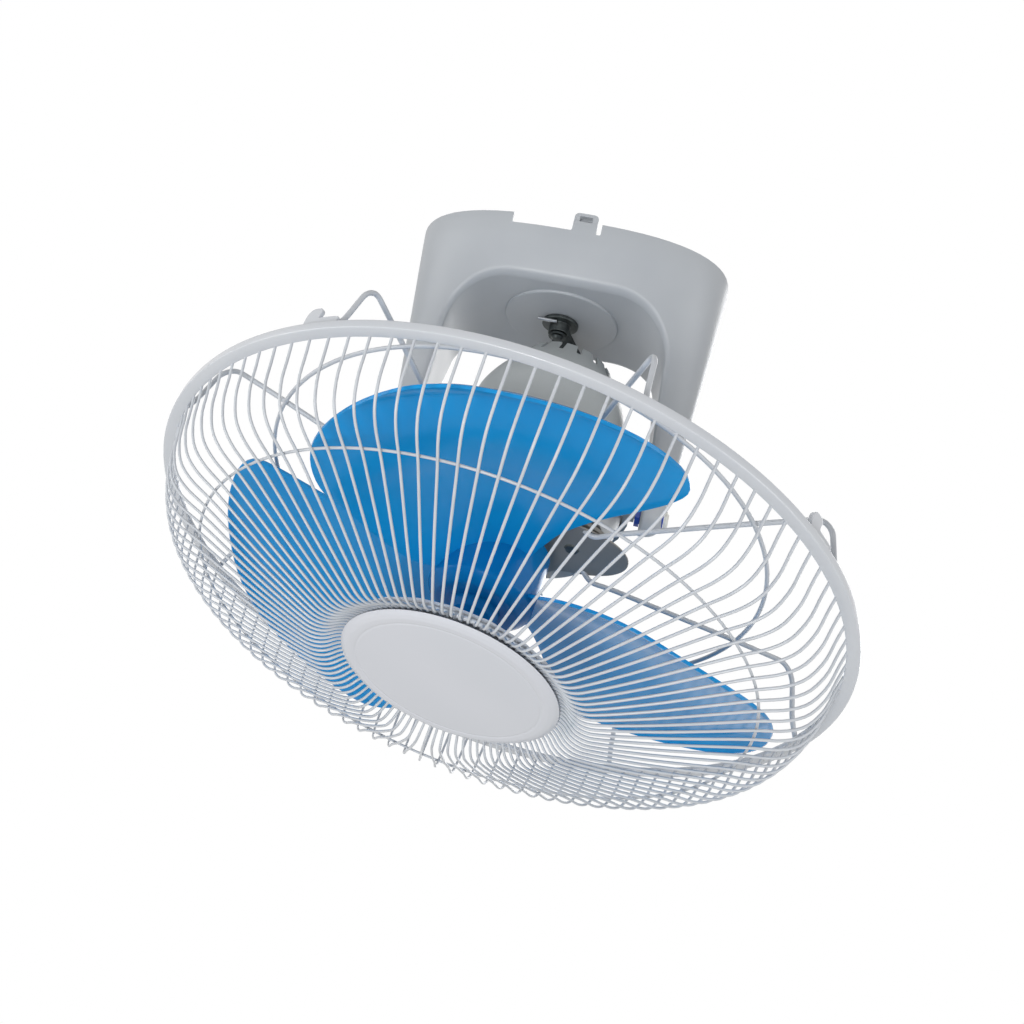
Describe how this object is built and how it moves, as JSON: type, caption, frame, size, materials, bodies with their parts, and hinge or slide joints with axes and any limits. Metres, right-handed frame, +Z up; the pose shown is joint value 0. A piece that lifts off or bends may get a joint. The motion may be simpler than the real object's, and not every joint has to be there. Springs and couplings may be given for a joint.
{
  "type": "orbit fan",
  "caption": "Ceiling orbit fan: a moulded yoke carries a motor in a gimbal ring, and a slow crank leads the guarded head and its petal blades round a cone.",
  "frame": {"origin": "middle of the hanger face that lies against the ceiling", "axes": "+Z up into the ceiling, X along the pins that carry the gimbal ring, -Y towards the side with the clip"},
  "size_m": [0.4284, 0.4215, 0.3323],
  "materials": {
    "grey_abs": "moulded, satin",
    "dark_abs": "moulded, satin",
    "white_wire": "powder coated wire",
    "white_plastic": "moulded, glossy",
    "blue_plastic": "clear tinted, glossy",
    "blue_nylon": "moulded",
    "zinc_steel": "zinc plated",
    "dark_steel": "oiled",
    "laminations": "laminated",
    "copper": "enamelled copper wire",
    "die_cast": "die cast",
    "ivory_nylon": "moulded"
  },
  "bodies": {
    "housing": {"housing_shell": "grey_abs", "pivot_bush_right": "blue_nylon", "pivot_bush_left": "blue_nylon", "pivot_pin_right": "zinc_steel", "pivot_pin_left": "zinc_steel", "pivot_cap_right": "ivory_nylon", "pivot_cap_left": "ivory_nylon", "hanger_bracket": "zinc_steel", "hanger_screw_1": "zinc_steel", "hanger_screw_2": "zinc_steel", "hanger_screw_3": "zinc_steel", "hanger_screw_4": "zinc_steel", "crank_spigot": "dark_steel", "spigot_washer": "zinc_steel", "spigot_screw": "zinc_steel", "terminal_block": "ivory_nylon"},
    "crank": {"crank": "dark_steel", "crank_cross_pin": "zinc_steel"},
    "head": {"motor_front_shell": "die_cast", "motor_rear_shell": "die_cast", "stator_core": "laminations", "winding_rear": "copper", "winding_front": "copper", "bearing_front": "zinc_steel", "bearing_rear": "zinc_steel", "gearbox_case": "die_cast", "gearbox_lid": "die_cast", "lid_screw_1": "zinc_steel", "lid_screw_2": "zinc_steel", "lid_screw_3": "zinc_steel", "motor_cover": "grey_abs", "guard_mount": "dark_abs", "rear_leg_1": "white_wire", "rear_leg_2": "white_wire", "rear_leg_3": "white_wire", "rear_leg_4": "white_wire", "rear_hoop": "white_wire", "leg_screw_1": "zinc_steel", "leg_screw_2": "zinc_steel", "leg_screw_3": "zinc_steel", "leg_screw_4": "zinc_steel", "guard_rim": "white_plastic", "rim_hook_1": "white_plastic", "rim_hook_2": "white_plastic", "front_guard_1": "white_wire", "front_guard_2": "white_wire", "front_guard_3": "white_wire", "front_guard_4": "white_wire", "front_guard_5": "white_wire", "front_guard_6": "white_wire", "front_guard_hoop": "white_wire", "guard_badge": "white_plastic", "badge_clamp": "white_plastic"},
    "rotor": {"rotor_core": "laminations", "motor_shaft": "zinc_steel", "blades": "blue_plastic", "blade_nut": "blue_plastic"},
    "ring": {"gimbal_ring": "dark_abs", "ring_pin_rear": "zinc_steel", "ring_pin_front": "zinc_steel"}
  },
  "joints": [
    {"name": "orbit", "type": "hinge", "parent": "housing", "child": "crank", "pos_m": [0, 0, -0.0565], "axis": [0, 0, 1], "continuous": true},
    {"name": "head_turn", "type": "hinge", "parent": "crank", "child": "head", "pos_m": [0, 0, -0.1715], "axis": [0.095, 0.2095, 0.9732], "continuous": true},
    {"name": "spin", "type": "hinge", "parent": "head", "child": "rotor", "pos_m": [0, 0, -0.1715], "axis": [0.095, 0.2095, 0.9732], "continuous": true},
    {"name": "ring_pivot", "type": "hinge", "parent": "housing", "child": "ring", "pos_m": [0, 0, -0.1715], "axis": [1, 0, 0], "range_deg": [-1.1, 25.4]}
  ],
  "couplings": [
    {"joint": "head_turn", "follows": "orbit", "ratio": -1}
  ]
}
